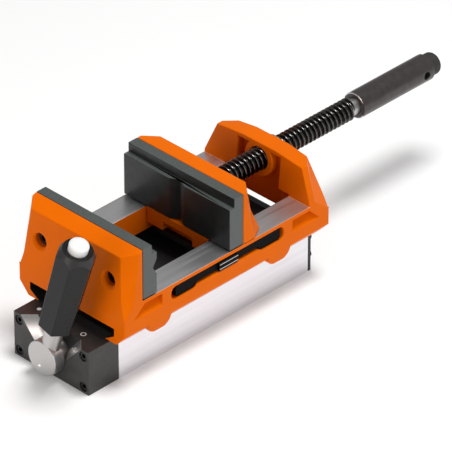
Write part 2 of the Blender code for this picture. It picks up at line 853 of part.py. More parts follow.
def side_slot_parts():
    for side, word in ((-1, "left"), (1, "right")):
        floor = half_body - slot_depth
        half = slot_length / 2 - 0.004
        top = way_z - slot_top - 0.001
        low = top - slot_height + 0.0018
        inner, outer = side * (floor + fit), side * (floor + fit + liner_thickness)
        liner = box(f"slot_liner_{word}", sorted((inner, outer)),
                    (body_middle - half, body_middle + half), (low, top))
        finish(liner, black, 0.45)
        middle = (low + top) / 2
        catch = box(f"slot_catch_{word}", sorted((outer + side * fit, outer + side * (fit + catch_proud))),
                    (body_middle - catch_length / 2, body_middle + catch_length / 2),
                    (middle - catch_height / 2, middle + catch_height / 2))
        finish(catch, dark_steel, 0.35, 1.0)


# Jaw plates: hardened steel, stepped at the top, one with a level and one with an upright groove

def plate_profile(back, direction):
    low = way_z + 0.001
    top = jaw_z
    front = back + direction * plate_thickness
    return [(back, low), (front, low), (front, top - plate_step_height),
            (front - direction * plate_step, top - plate_step_height),
            (front - direction * plate_step, top), (back, top)]


def plate_holes(obj, back, direction):
    for side in (-1, 1):
        x, z = side * jaw_screw_x, jaw_screw_height
        cut(obj, rod("tapped_hole", jaw_screw_radius + fit, (x, back - direction * over, z),
                     (x, back + direction * (jaw_screw_bite + fit), z), count=16))


def fixed_jaw_plate():
    obj = outline("fixed_jaw_plate", plate_profile(plate_back, 1), body_width, along_x, (0, 0, 0))
    z = way_z + groove_height
    mouth = groove_half + groove_spare
    groove = [(plate_front + over, z + mouth), (plate_front - groove_depth, z),
              (plate_front + over, z - mouth)]
    cut(obj, outline("level_groove", groove, body_width + 2 * over, along_x, (0, 0, 0)))
    plate_holes(obj, plate_back, 1)
    finish(obj, dark_steel, 0.45, 1.0)


def moving_jaw_plate(parent):
    obj = outline("moving_jaw_plate", plate_profile(moving_plate_back, -1), body_width, along_x, (0, 0, 0))
    front = moving_plate_front
    reach = prism_half * (prism_depth + over) / prism_depth
    groove = [(-reach, front - over), (0, front + prism_depth), (reach, front - over)]
    height = jaw_height + 4 * over
    cut(obj, outline("upright_groove", groove, height, along_z, (0, 0, way_z + height / 2 - over)))
    plate_holes(obj, moving_plate_back, -1)
    finish(obj, dark_steel, 0.45, 1.0, parent)


# Moving jaw: runs on the ways, held down by the keeper in the tunnel

def moving_jaw(parent):
    backs = (moving_jaw_foot, moving_jaw_waist, moving_jaw_depth)
    heights = (way_z + fit, way_z + moving_jaw_waist_rise, jaw_z)
    rings = []
    for back, height, flank, inset in zip(backs, heights, moving_jaw_flanks, moving_jaw_insets):
        section = [(half_body, moving_y), (half_body, moving_y + flank), (half_body - inset, moving_y + back)]
        rings.append(half_ring(section, lambda y: height))
    foot = moving_y + moving_jaw_foot
    obj = loft("moving_jaw", rings)
    half = way_inner - fit
    tongue_y = moving_y - tongue_front
    join(obj, box("bearing_boss", (-boss_half, boss_half), (moving_y + edge, boss_back),
                  (way_z + edge, spindle_height + boss_top)),
         box("tongue", (-half, half), (moving_y - edge, moving_y + tongue_length), (tee_z, way_z + edge)),
         box("front_web", (-half, half), (tongue_y, moving_y), (way_z - web_height, way_z)))
    for side in (-1, 1):
        join(obj, box("guide_shoe", sorted((side * shoe_inner, side * half)), (tongue_y, moving_y),
                      (way_z - shoe_height, way_z)))
    low = spindle_height - fork_height / 2 - fit
    wide = fork_width / 2 + fit
    cut(obj, box("fork_seat", (-wide, wide), (boss_back, foot + over), (low, jaw_z)),
        rod("head_bore", head_radius + fit, (0, head_front - fit, spindle_height),
            (0, boss_back + over, spindle_height)))
    for x, z in fork_screw_places:
        cut(obj, rod("tapped_hole", fork_screw_radius + fit, (x, boss_back - fork_screw_bite - tap_spare, z),
                     (x, boss_back + over, z), count=12))
    for x in (-keeper_screw_x, keeper_screw_x):
        cut(obj, rod("tapped_hole", cap_shank_radius + fit, (x, keeper_y, tee_z - over),
                     (x, keeper_y, tee_z + keeper_screw_bite + tap_spare), count=12))
    surface = moving_y + between(moving_jaw_foot, moving_jaw_waist, moving_rise)
    cut_jaw_screw_holes(obj, surface, moving_y, -1)
    finish(obj, orange, 0.4, 0.0, parent)


def fork_plate(parent):
    low, high = spindle_height - fork_height / 2, spindle_height + fork_height / 2
    wide = fork_width / 2
    slot = neck_radius + fit
    arc = [(slot * math.cos(a), spindle_height + slot * math.sin(a)) for a in
           [math.radians(step * 15) for step in range(13)]]
    profile = arc + [(-slot, low), (-wide, low), (-wide, high), (wide, high), (wide, low), (slot, low)]
    obj = outline("fork_plate", profile, fork_thickness, along_y, (0, (fork_front + fork_back) / 2, 0))
    seat = fork_back - fork_screw_head
    for number, (x, z) in enumerate(fork_screw_places, 1):
        behind = (x, fork_back + over, z)
        cut(obj, rod("screw_hole", fork_screw_radius + fit, (x, fork_front - over, z), behind, count=12),
            rod("screw_sink", fork_screw_head_radius + fit, (x, seat - fit, z), behind, count=16))
        cap_screw(f"fork_screw_{number}", toward((0, 1, 0), (x, seat, z)), fork_screw_head_radius,
                  fork_screw_head, fork_screw_radius, seat - boss_back + fork_screw_bite, parent)
    finish(obj, dark_steel, 0.4, 1.0, parent)


def keeper(parent):
    high = tee_z - fit
    low = high - keeper_thickness
    half = keeper_width / 2
    level = low + keeper_chamfer
    profile = [(-half, high), (-half, level), (-half + keeper_chamfer, low), (half - keeper_chamfer, low),
               (half, level), (half, high)]
    obj = outline("keeper_plate", profile, keeper_length, along_y, (0, keeper_y, 0))
    seat = low + keeper_screw_head
    for x, word in ((-keeper_screw_x, "left"), (keeper_screw_x, "right")):
        below = (x, keeper_y, low - over)
        cut(obj, rod("screw_hole", cap_shank_radius + fit, below, (x, keeper_y, high + over), count=12),
            rod("screw_sink", cap_head_radius + fit, below, (x, keeper_y, seat + fit), count=16))
        cap_screw(f"keeper_screw_{word}", toward((0, 0, -1), (x, keeper_y, seat)), cap_head_radius,
                  keeper_screw_head, cap_shank_radius, tee_z + keeper_screw_bite - seat, parent)
    finish(obj, black, 0.45, 0.0, parent)


# Spindle: trapezoidal thread, with a head that the fork plate holds in the moving jaw

def threaded_rod(name):
    """One pitch of a trapezoidal thread, turned while it climbs and then sawn off square at both ends."""
    rings = math.ceil(thread_length / thread_pitch) + 1
    profile = [(core_radius, 0), (core_radius, thread_pitch * 0.36), (spindle_radius, thread_pitch * 0.50),
               (spindle_radius, thread_pitch * 0.86), (core_radius, thread_pitch)]
    start = Vector((0, thread_front - thread_pitch, spindle_height))
    obj = turned(name, profile, toward((0, 1, 0), start), thread_sides, rings, thread_pitch)
    bm = bmesh.new()
    bm.from_mesh(obj.data)
    bpy.data.objects.remove(obj, do_unlink=True)
    for end, way in ((thread_front, -1), (thread_back, 1)):
        bmesh.ops.bisect_plane(bm, geom=bm.verts[:] + bm.edges[:] + bm.faces[:], dist=0.000001,
                               plane_co=(0, end, 0), plane_no=(0, way, 0), clear_outer=True)
    bmesh.ops.holes_fill(bm, edges=[edge for edge in bm.edges if edge.is_boundary], sides=0)
    face_outwards(bm)
    return from_bmesh(name, bm)


def spindle(parent):
    obj = threaded_rod("spindle")
    neck_length = thread_front - head_front + neck_root
    profile = [(0, 0), (head_radius - edge, 0), (head_radius, -edge), (head_radius, -head_length),
               (neck_radius, -head_length), (neck_radius, -neck_length), (0, -neck_length)]
    head = turned("head", profile, toward((0, -1, 0), (0, head_front, spindle_height)), count=24)
    tail = rod("tail", tail_radius, (0, thread_back - neck_root, spindle_height),
               (0, handle_front + tail_length, spindle_height), count=20)
    join(obj, head, tail)
    y = handle_front + handle_pin_inset
    cut(obj, rod("pin_hole", handle_pin_radius + fit, (-handle_radius, y, spindle_height),
                 (handle_radius, y, spindle_height), count=12))
    finish(obj, dark_steel, 0.35, 1.0, parent)


def spindle_handle(parent):
    r = handle_radius
    low = r - handle_groove
    bore = tail_radius + fit
    end = handle_length
    groove = end - handle_groove_inset
    dome = [(r * math.cos(a), -end + handle_dome * (1 - math.sin(a))) for a in
            [math.radians(step * 18) for step in range(6)]]
    profile = [(0, -tail_length - fit), (bore, -tail_length - fit), (bore, 0), (handle_neck_radius, 0),
               (r - handle_groove, -handle_groove * 3), (low, -handle_ring + handle_groove * 2),
               (r, -handle_ring),
               (r, handle_groove - groove), (low, -groove), (r, -groove - handle_groove)] + dome
    obj = turned("spindle_handle", profile, toward((0, -1, 0), (0, handle_front, spindle_height)))
    reach = r + over
    y = handle_front + handle_length - tommy_inset
    cut(obj, rod("tommy_hole", tommy_radius, (-reach, y, spindle_height), (reach, y, spindle_height),
                 count=20))
    y = handle_front + handle_pin_inset
    cut(obj, rod("pin_hole", handle_pin_radius + fit, (-reach, y, spindle_height),
                 (reach, y, spindle_height), count=12))
    finish(obj, black, 0.35, 0.6, parent)
    tip = low - 2 * fit
    pin = rod("handle_pin", handle_pin_radius, (-tip, y, spindle_height), (tip, y, spindle_height), count=12)
    finish(pin, steel, 0.4, 1.0, parent)


def spindle_nut():
    front = upright_y + nut_lip + fit
    seat = front - body_back - fit
    bore = spindle_radius + fit
    profile = [(bore, 0), (nut_radius, 0), (nut_radius, seat), (nut_collar_radius, seat),
               (nut_collar_radius, seat - nut_collar), (bore, seat - nut_collar), (bore, 0)]
    obj = turned("spindle_nut", profile, toward((0, -1, 0), (0, front, spindle_height)))
    finish(obj, bronze, 0.4, 1.0)


switch_block()
pole_shoe("pole_shoe_left", -1)
pole_shoe("pole_shoe_right", 1)
spacers()
top_cover()
end_cover()
base_screws()
bushes()

lever_pivot = pivot("lever_pivot", lever_frame())
rotor(lever_pivot)
grip_place, grip_top = lever(lever_pivot)
lock_button(lever_pivot, grip_place, grip_top)
lock_spring(lever_pivot, grip_place, grip_top)

vise_body()
side_slot_parts()
fixed_jaw_plate()
jaw_screws("fixed_jaw_screw", seat_y, 1)
spindle_nut()

jaw_slide = pivot("jaw_slide", Matrix.Translation((0, moving_y, way_z)))
moving_jaw(jaw_slide)
moving_jaw_plate(jaw_slide)
jaw_screws("moving_jaw_screw", moving_y, -1, jaw_slide)
fork_plate(jaw_slide)
keeper(jaw_slide)

spindle_axis = pivot("spindle_axis", Matrix.Translation((0, head_front, spindle_height)))
spindle(spindle_axis)
spindle_handle(spindle_axis)
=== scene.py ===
import math

import bmesh
import bpy
from mathutils import Matrix, Vector


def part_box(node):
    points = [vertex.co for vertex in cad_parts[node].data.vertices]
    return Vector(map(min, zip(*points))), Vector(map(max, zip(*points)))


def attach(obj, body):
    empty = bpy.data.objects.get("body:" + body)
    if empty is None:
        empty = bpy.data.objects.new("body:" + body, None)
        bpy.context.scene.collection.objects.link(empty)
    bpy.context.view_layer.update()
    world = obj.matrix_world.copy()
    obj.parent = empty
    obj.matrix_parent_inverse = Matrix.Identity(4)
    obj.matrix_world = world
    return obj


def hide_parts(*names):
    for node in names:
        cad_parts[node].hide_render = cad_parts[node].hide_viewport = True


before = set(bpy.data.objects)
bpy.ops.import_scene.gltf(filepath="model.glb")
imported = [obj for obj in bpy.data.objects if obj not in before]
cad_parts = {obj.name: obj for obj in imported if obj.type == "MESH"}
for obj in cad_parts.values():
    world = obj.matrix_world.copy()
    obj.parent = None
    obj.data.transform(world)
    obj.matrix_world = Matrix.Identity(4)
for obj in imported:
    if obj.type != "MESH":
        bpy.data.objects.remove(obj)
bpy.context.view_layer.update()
scene = bpy.context.scene


# Pole shoes: two long blocks of ground mild steel that carry the magnet's flux to the table.
# They are surface ground along their length, and their long edges are broken with a stone.

def new_finish(name, colour, roughness, metallic=0.0, specular=0.5):
    """A material with a Principled shader, ready for its grain and bump."""
    finish = bpy.data.materials.new(name)
    finish.use_nodes = True
    shader = finish.node_tree.nodes["Principled BSDF"]
    shader.inputs["Base Color"].default_value = (*colour, 1)
    shader.inputs["Roughness"].default_value = roughness
    shader.inputs["Metallic"].default_value = metallic
    shader.inputs["Specular IOR Level"].default_value = specular
    return finish


def grain(finish, scale, stretch=(1, 1, 1), detail=4.0):
    """A noise pattern in the piece's own metres, stretched to follow a lay or left even."""
    nodes, links = finish.node_tree.nodes, finish.node_tree.links
    place = nodes.new("ShaderNodeTexCoord")
    mapping = nodes.new("ShaderNodeMapping")
    mapping.inputs["Scale"].default_value = stretch
    noise = nodes.new("ShaderNodeTexNoise")
    noise.inputs["Scale"].default_value = scale
    noise.inputs["Detail"].default_value = detail
    links.new(place.outputs["Object"], mapping.inputs["Vector"])
    links.new(mapping.outputs["Vector"], noise.inputs["Vector"])
    return noise.outputs["Fac"]


def vary(finish, socket, pattern, low, high):
    """Lets a pattern move a shader value or colour between two levels."""
    nodes, links = finish.node_tree.nodes, finish.node_tree.links
    target = nodes["Principled BSDF"].inputs[socket]
    ramp = nodes.new("ShaderNodeValToRGB")
    ramp.color_ramp.elements[0].position = 0.30
    ramp.color_ramp.elements[1].position = 0.70
    if isinstance(low, tuple):
        ramp.color_ramp.elements[0].color = (*low, 1)
        ramp.color_ramp.elements[1].color = (*high, 1)
    else:
        ramp.color_ramp.elements[0].color = (low, low, low, 1)
        ramp.color_ramp.elements[1].color = (high, high, high, 1)
    links.new(pattern, ramp.inputs["Fac"])
    links.new(ramp.outputs["Color"], target)


def relief(finish, pattern, depth, strength=1.0):
    """Raises the surface by a pattern, with its depth in metres."""
    nodes, links = finish.node_tree.nodes, finish.node_tree.links
    bump = nodes.new("ShaderNodeBump")
    bump.inputs["Distance"].default_value = depth
    bump.inputs["Strength"].default_value = strength
    links.new(pattern, bump.inputs["Height"])
    links.new(bump.outputs["Normal"], nodes["Principled BSDF"].inputs["Normal"])


def merged_copy(node):
    """The CAD solid as one welded mesh with its flat faces whole."""
    bm = bmesh.new()
    bm.from_mesh(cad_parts[node].data)
    bmesh.ops.remove_doubles(bm, verts=bm.verts, dist=0.000002)
    bmesh.ops.dissolve_limit(bm, angle_limit=math.radians(0.6), verts=bm.verts, edges=bm.edges)
    return bm


def round_edges(bm, width, segments=2, wanted=None):
    """Rounds the sharp edges, or those that the wanted test picks out of them."""
    least_angle, least_length = math.radians(28), width * 1.5
    sharp = [edge for edge in bm.edges if edge.is_manifold and edge.calc_face_angle() > least_angle
             and edge.calc_length() > least_length]
    if wanted:
        sharp = [edge for edge in sharp if wanted((edge.verts[0].co + edge.verts[1].co) / 2)]
    bmesh.ops.bevel(bm, geom=sharp, offset=width, offset_type="OFFSET", segments=segments, profile=0.5,
                    affect="EDGES", clamp_overlap=False, material=-1)


def place_piece(bm, name, body, finishes, nodes=(), smooth=32):
    """Makes the piece from its mesh, with its finishes, the body it rides on and what it stands for."""
    mesh = bpy.data.meshes.new(name)
    bm.to_mesh(mesh)
    bm.free()
    piece = bpy.data.objects.new(name, mesh)
    scene.collection.objects.link(piece)
    for finish in finishes:
        mesh.materials.append(finish)
    mesh.shade_smooth()
    mesh.set_sharp_from_angle(angle=math.radians(smooth))
    weights = piece.modifiers.new("even_normals", "WEIGHTED_NORMAL")
    weights.keep_sharp = True
    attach(piece, body)
    if nodes:
        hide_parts(*nodes)


ground_steel = new_finish("ground_steel", (0.80, 0.80, 0.83), 0.38, 1.0)
lay = grain(ground_steel, 700, (1, 0.012, 1))
vary(ground_steel, "Roughness", lay, 0.34, 0.44)
streaks = grain(ground_steel, 260, (1, 0.02, 1))
vary(ground_steel, "Base Color", streaks, (0.77, 0.77, 0.80), (0.83, 0.83, 0.86))
relief(ground_steel, lay, 0.00002, 0.15)

stone_break, shoe_side = 0.0003, 0.034
for side in ("left", "right"):
    bm = merged_copy(f"pole_shoe_{side}")
    round_edges(bm, stone_break, 2, lambda spot: abs(spot.x) > shoe_side)
    place_piece(bm, f"pole_block_{side}", "base", [ground_steel], [f"pole_shoe_{side}"])


# Brass strips: they fill the gap between the pole shoes above and below the rotor.
# Brass doesn't carry the flux, and it is ground flush with the steel on the underside.

strip_brass = new_finish("strip_brass", (0.62, 0.46, 0.17), 0.35, 1.0)
vary(strip_brass, "Roughness", grain(strip_brass, 800, (1, 0.02, 1)), 0.28, 0.45)


def recoat(finish, *nodes):
    """Gives CAD solids that keep their shape a finish."""
    for node in nodes:
        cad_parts[node].data.materials.clear()
        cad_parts[node].data.materials.append(finish)


recoat(strip_brass, "spacer_bottom", "spacer_top")


# Rotor, its shaft and its bushes: sealed in the bore between the pole shoes.
# The rotor's two flats turn with the lever, and bronze bushes carry the ground shaft.

rotor_iron = new_finish("rotor_iron", (0.10, 0.10, 0.11), 0.55, 0.8)
relief(rotor_iron, grain(rotor_iron, 1500), 0.00005)
shaft_steel = new_finish("shaft_steel", (0.55, 0.55, 0.57), 0.28, 1.0)
vary(shaft_steel, "Roughness", grain(shaft_steel, 1200, (1, 8, 1)), 0.22, 0.36)
bush_bronze = new_finish("bush_bronze", (0.50, 0.33, 0.14), 0.42, 1.0)
vary(bush_bronze, "Base Color", grain(bush_bronze, 900), (0.46, 0.30, 0.12), (0.56, 0.38, 0.17))
recoat(rotor_iron, "magnet_rotor")
recoat(shaft_steel, "rotor_shaft")
recoat(bush_bronze, "front_bush", "back_bush")


# Magnet covers: a black plate that closes the top of the pole shoes, and one across their back end.
# Sheet steel with a satin black coat, and four dome-headed screws in the back one.

satin_black = new_finish("satin_black", (0.018, 0.018, 0.019), 0.42, 0.0, 0.4)
fine = grain(satin_black, 2200)
vary(satin_black, "Roughness", fine, 0.36, 0.50)
relief(satin_black, fine, 0.00002, 0.4)
for node in ("magnet_top_cover", "end_cover"):
    bm = merged_copy(node)
    round_edges(bm, stone_break, 2, lambda spot: abs(spot.x) > shoe_side)
    place_piece(bm, f"{node}_plate", "base", [satin_black], [node])


def turn_profile(profile, place, steps=48):
    """A turned form: a profile of radius and height spun once round the Z axis, then put in place."""
    bm = bmesh.new()
    spots = [bm.verts.new((radius, 0, height)) for radius, height in profile]
    edges = [bm.edges.new(pair) for pair in zip(spots, spots[1:])]
    bmesh.ops.spin(bm, geom=spots + edges, cent=(0, 0, 0), axis=(0, 0, 1), angle=2 * math.pi,
                   steps=steps, use_merge=True)
    bmesh.ops.remove_doubles(bm, verts=bm.verts, dist=0.000002)
    bmesh.ops.recalc_face_normals(bm, faces=bm.faces)
    if bm.calc_volume(signed=True) < 0:
        bmesh.ops.reverse_faces(bm, faces=bm.faces)
    bm.transform(place)
    return bm


def facing(direction, spot):
    """A frame at a spot whose Z axis points in a direction."""
    turn = Vector((0, 0, 1)).rotation_difference(Vector(direction)).to_matrix().to_4x4()
    return Matrix.Translation(spot) @ turn


def middle(node):
    """The middle of a CAD node's box."""
    low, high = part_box(node)
    return (low + high) / 2


screw_black = new_finish("screw_black", (0.035, 0.035, 0.038), 0.36, 0.9)
vary(screw_black, "Roughness", grain(screw_black, 2500), 0.30, 0.48)
dome_radius, dome_rise, dome_shank = 0.0030, 0.0016, 0.0014
quarter = [math.radians(degrees) for degrees in range(0, 91, 10)]
dome = [(dome_radius * math.sin(a), dome_rise * math.cos(a)) for a in quarter]
for number in range(1, 5):
    node = f"end_cover_screw_{number}"
    low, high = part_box(node)
    centre = middle(node)
    seat = high.y - dome_rise
    shank = [(dome_shank, 0), (dome_shank, low.y - seat), (0, low.y - seat)]
    bm = turn_profile(dome + shank, facing((0, 1, 0), (centre.x, seat, centre.z)), 32)
    place_piece(bm, f"dome_screw_{number}", "base", [screw_black], [node])


# Switch block: the steel housing at the front end that the lever turns in, blackened all over.
# A relief for the lever is milled through its front and top; its sloping walls are left bright, and its floor
# behind the neck keeps the black as painted shade.

block_black = new_finish("block_black", (0.022, 0.021, 0.020), 0.38, 0.0, 0.45)
cloud = grain(block_black, 180)
vary(block_black, "Base Color", cloud, (0.018, 0.017, 0.016), (0.030, 0.028, 0.027))
vary(block_black, "Roughness", grain(block_black, 1600), 0.32, 0.46)
milled_bright = new_finish("milled_bright", (0.52, 0.51, 0.50), 0.38, 1.0)
cutter_lay = grain(milled_bright, 1400, (1, 0.05, 1))
vary(milled_bright, "Roughness", cutter_lay, 0.26, 0.42)
relief(milled_bright, cutter_lay, 0.00003, 0.5)

bm = merged_copy("switch_block")
block_low, block_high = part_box("switch_block")
relief_half, relief_foot = 0.0300, 0.018
block_break, block_side, block_top = 0.0004, 0.0352, 0.0342
# Only the relief's sloping walls get the bright milling; its floor behind the neck stays black as painted
# shade.
for face in bm.faces:
    spot = face.calc_center_median()
    wall = abs(face.normal.x) > 0.25 and face.normal.z > 0.2 and abs(spot.x) < relief_half
    if wall and spot.z > relief_foot:
        face.material_index = 1
round_edges(bm, block_break, 2, lambda spot: abs(spot.x) > block_side or spot.z > block_top)
place_piece(bm, "switch_housing", "base", [block_black, milled_bright], ["switch_block"])

mark_white = new_finish("mark_white", (0.60, 0.60, 0.58), 0.55)
vary(mark_white, "Roughness", grain(mark_white, 3000), 0.50, 0.65)
mark_lift, mark_inset, paint_thickness = 0.00002, 0.013, 0.00006


def only(kind, made):
    """The vertices or the edges among what an operator made."""
    return [part for part in made["geom"] if isinstance(part, kind)]


def filled_ring(bm, outer, inner, place):
    """A thin ring of printed paint, or a dot where the inner radius is nothing."""
    bmesh.ops.create_circle(bm, cap_ends=not inner, radius=outer, segments=40, matrix=place)
    if inner:
        bmesh.ops.create_circle(bm, cap_ends=False, radius=inner, segments=40, matrix=place)
        bmesh.ops.bridge_loops(bm, edges=bm.edges[:])
    grown = bmesh.ops.extrude_face_region(bm, geom=bm.faces[:])
    bmesh.ops.translate(bm, vec=(0, 0, paint_thickness), verts=only(bmesh.types.BMVert, grown))
    bmesh.ops.recalc_face_normals(bm, faces=bm.faces)


for name, x, outer, inner in (("mark_off", 0.0175, 0.0021, 0.0014), ("mark_on", -0.0245, 0.0016, 0)):
    bm = bmesh.new()
    spot = (x, block_low.y + mark_inset, block_high.z + mark_lift)
    filled_ring(bm, outer, inner, Matrix.Translation(spot))
    place_piece(bm, name, "base", [mark_white])


# Socket screws: blackened cap screws with a hexagon socket and a lightly chamfered head.
# Four hold the switch block, four the casting, two each jaw plate and the keeper, and four
# small bright ones the fork plate.

def socket_screw(name, node, way, size, body, finish=screw_black):
    """Builds the screw in its CAD solid's box, with its head at the end that the way points to.

    Its size is the head's radius, the head's height and the shank's radius.
    """
    head_radius, head_height, shank_radius = size
    chamfer, socket_radius, socket_depth = head_radius * 0.10, head_radius * 0.52, head_height * 0.55
    low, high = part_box(node)
    way = Vector(way)
    reach = abs((high - low).dot(way))
    top = middle(node) + way * reach / 2
    bm = bmesh.new()
    head = bmesh.ops.create_circle(bm, cap_ends=False, radius=head_radius - chamfer, segments=24)["verts"]
    socket = bmesh.ops.create_circle(bm, cap_ends=False, radius=socket_radius, segments=6)["verts"]
    bmesh.ops.bridge_loops(bm, edges=bm.edges[:])
    flats = [edge for edge in bm.edges if edge.verts[0] in socket and edge.verts[1] in socket]
    sunk = bmesh.ops.extrude_edge_only(bm, edges=flats)
    bmesh.ops.translate(bm, vec=(0, 0, -socket_depth), verts=only(bmesh.types.BMVert, sunk))
    bmesh.ops.contextual_create(bm, geom=only(bmesh.types.BMEdge, sunk))
    rim = [edge for edge in bm.edges if edge.verts[0] in head and edge.verts[1] in head]
    for radius, drop in ((head_radius, chamfer), (head_radius, head_height - chamfer), (shank_radius, 0),
                         (shank_radius, reach - head_height)):
        grown = bmesh.ops.extrude_edge_only(bm, edges=rim)
        verts = only(bmesh.types.BMVert, grown)
        now = max(vert.co.xy.length for vert in verts)
        bmesh.ops.scale(bm, vec=(radius / now, radius / now, 1), verts=verts)
        bmesh.ops.translate(bm, vec=(0, 0, -drop), verts=verts)
        rim = only(bmesh.types.BMEdge, grown)
    bmesh.ops.contextual_create(bm, geom=rim)
    bmesh.ops.recalc_face_normals(bm, faces=bm.faces)
    bm.transform(facing(way, top))
    place_piece(bm, name, body, [finish], [node], 40)


cap_screw = (0.0034, 0.0040, 0.0020)
for number in range(1, 5):
    socket_screw(f"block_cap_screw_{number}", f"switch_block_screw_{number}", (0, -1, 0), cap_screw, "base")
    socket_screw(f"magnet_cap_screw_{number}", f"base_screw_{number}", (0, 0, -1), cap_screw, "base")


# Lever hub: a turned steel disc with a journal in the block, and an oval neck with a narrow flat
# before and behind. It is satin turned all over, with a bright pin pressed in off centre.

turned_steel = new_finish("turned_steel", (0.50, 0.49, 0.48), 0.34, 1.0)
rings = grain(turned_steel, 1500, (1, 1, 1))
vary(turned_steel, "Roughness", rings, 0.28, 0.40)
relief(turned_steel, rings, 0.00002, 0.3)
lever_tilt = math.radians(17.5)
hub_height = 0.017
hub_low, hub_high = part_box("lever_hub")
hub_radius, hub_face, journal_radius = 0.0130, 0.0090, 0.0095
hub_edge, hub_step, hub_clear = 0.0009, 0.0003, 0.0003
block_face = hub_low.y + hub_face
journal_end = block_face - hub_high.y
profile = [(0, hub_face), (hub_radius - hub_edge, hub_face), (hub_radius - hub_step, hub_face - hub_step),
           (hub_radius, hub_face - hub_edge), (hub_radius, hub_clear), (journal_radius, hub_clear),
           (journal_radius, journal_end), (0, journal_end)]
bm = turn_profile(profile, facing((0, -1, 0), (0, block_face, hub_height)), 72)
grip_low, grip_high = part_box("lever_grip")
grip_y = (grip_low.y + grip_high.y) / 2
lever_frame = Matrix.Translation((0, grip_y, hub_height)) @ Matrix.Rotation(lever_tilt, 4, "Y")
neck_radius, neck_flattening, neck_half = 0.0069, 0.78, 0.00525
neck_foot, neck_free, neck_top = 0.0105, 0.0141, 0.0302
neck_clear = block_face - hub_clear - grip_y


def join(bm, other):
    """Adds another mesh to this one."""
    carrier = bpy.data.meshes.new("carrier")
    other.to_mesh(carrier)
    other.free()
    bm.from_mesh(carrier)
    bpy.data.meshes.remove(carrier)


for low, high, behind in ((neck_foot, neck_free, neck_clear), (neck_free, neck_top, neck_half)):
    neck = bmesh.new()
    bmesh.ops.create_cone(neck, cap_ends=True, segments=64, radius1=neck_radius, radius2=neck_radius,
                          depth=high - low, matrix=Matrix.Translation((0, 0, (low + high) / 2)))
    bmesh.ops.scale(neck, vec=(1, neck_flattening, 1), verts=neck.verts)
    for flat, way in ((-neck_half, -1), (behind, 1)):
        bmesh.ops.bisect_plane(neck, geom=neck.verts[:] + neck.edges[:] + neck.faces[:], dist=0.000001,
                               plane_co=(0, flat, 0), plane_no=(0, way, 0), clear_outer=True)
        bmesh.ops.holes_fill(neck, edges=[edge for edge in neck.edges if edge.is_boundary], sides=0)
    neck.transform(lever_frame)
    join(bm, neck)
place_piece(bm, "hub_with_neck", "lever", [turned_steel], ["lever_hub"], 30)

pin_low, pin_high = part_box("hub_pin")
pin_spot, pin_radius = middle("hub_pin"), (pin_high.x - pin_low.x) / 2
pin_bright = new_finish("pin_bright", (0.80, 0.80, 0.80), 0.22, 1.0)
vary(pin_bright, "Roughness", grain(pin_bright, 2500), 0.18, 0.30)
recoat(pin_bright, "handle_pin", "lock_spring")
pin_proud = 0.0005
pin_face = hub_low.y - pin_proud
pin_length = pin_high.y - pin_face
pin_crown = [(0, 0), (pin_radius * 0.5, 0.0001), (pin_radius * 0.85, 0.0004), (pin_radius, 0.0008)]
bm = turn_profile(pin_crown + [(pin_radius, pin_length), (0, pin_length)],
                  facing((0, 1, 0), (pin_spot.x, pin_face, pin_spot.z)), 32)
place_piece(bm, "hub_pin_head", "lever", [pin_bright], ["hub_pin"], 60)


# Lever grip: a black moulded handle with six long flats that widen to its top, where a turned cone ends them.
# Its bore holds the lock button, and a thin ring of shadow shows round the button.

grip_black = new_finish("grip_black", (0.007, 0.007, 0.007), 0.30, 0.0, 0.20)
moulding = grain(grip_black, 1300)
vary(grip_black, "Roughness", moulding, 0.26, 0.36)
relief(grip_black, moulding, 0.00003, 0.3)
grip_cone = new_finish("grip_cone", (0.022, 0.021, 0.021), 0.42, 0.0, 0.35)
vary(grip_cone, "Roughness", grain(grip_cone, 1600), 0.36, 0.50)

foot, top = 0.0303, 0.1030
foot_corner, top_corner, rim_radius, bore_radius = 0.0125, 0.0142, 0.0105, 0.0076
cone_drop, foot_drop, foot_inset, bore_depth = 0.0074, 0.0006, 0.0008, 0.0259
cone_slope = (top_corner - rim_radius) / cone_drop
around = 96
bm = bmesh.new()
loops = []
for step in range(around):
    angle = 2 * math.pi * step / around
    across = (angle % (math.pi / 3)) - math.pi / 6
    share = math.cos(math.pi / 6) / math.cos(across)
    widening = share * (top_corner - foot_corner) / (top - foot)
    crease = (rim_radius + cone_slope * top - share * foot_corner + widening * foot) / (widening + cone_slope)
    way = Vector((math.cos(angle), math.sin(angle), 0))
    spots = [(foot_corner * share - foot_inset, foot), (foot_corner * share, foot + foot_drop),
             (foot_corner * share + widening * (crease - foot), crease), (rim_radius, top),
             (bore_radius, top), (bore_radius, top - bore_depth)]
    loops.append([bm.verts.new(way * radius + Vector((0, 0, height))) for radius, height in spots])
for one, two in zip(loops, loops[1:] + loops[:1]):
    for row in range(len(one) - 1):
        face = bm.faces.new((one[row], two[row], two[row + 1], one[row + 1]))
        if row == 2:
            face.material_index = 1
for row in (0, -1):
    bm.faces.new([loop[row] for loop in loops])
bmesh.ops.recalc_face_normals(bm, faces=bm.faces)
ridge_angle, ridge_length, ridge_round = math.radians(40), 0.02, 0.0004
ridges = [edge for edge in bm.edges if edge.calc_face_angle() > ridge_angle
          and abs(edge.verts[0].co.z - edge.verts[1].co.z) > ridge_length]
bmesh.ops.bevel(bm, geom=ridges, offset=ridge_round, offset_type="OFFSET", segments=2, profile=0.5,
                affect="EDGES", clamp_overlap=True, material=-1)
bm.transform(lever_frame)
place_piece(bm, "moulded_grip", "lever", [grip_black, grip_cone], ["lever_grip"], 14)


# Lock button: a white plastic plunger that stands out of the grip and is pushed down to free the lever.
# Its crown is slightly domed, with a small radius all round.

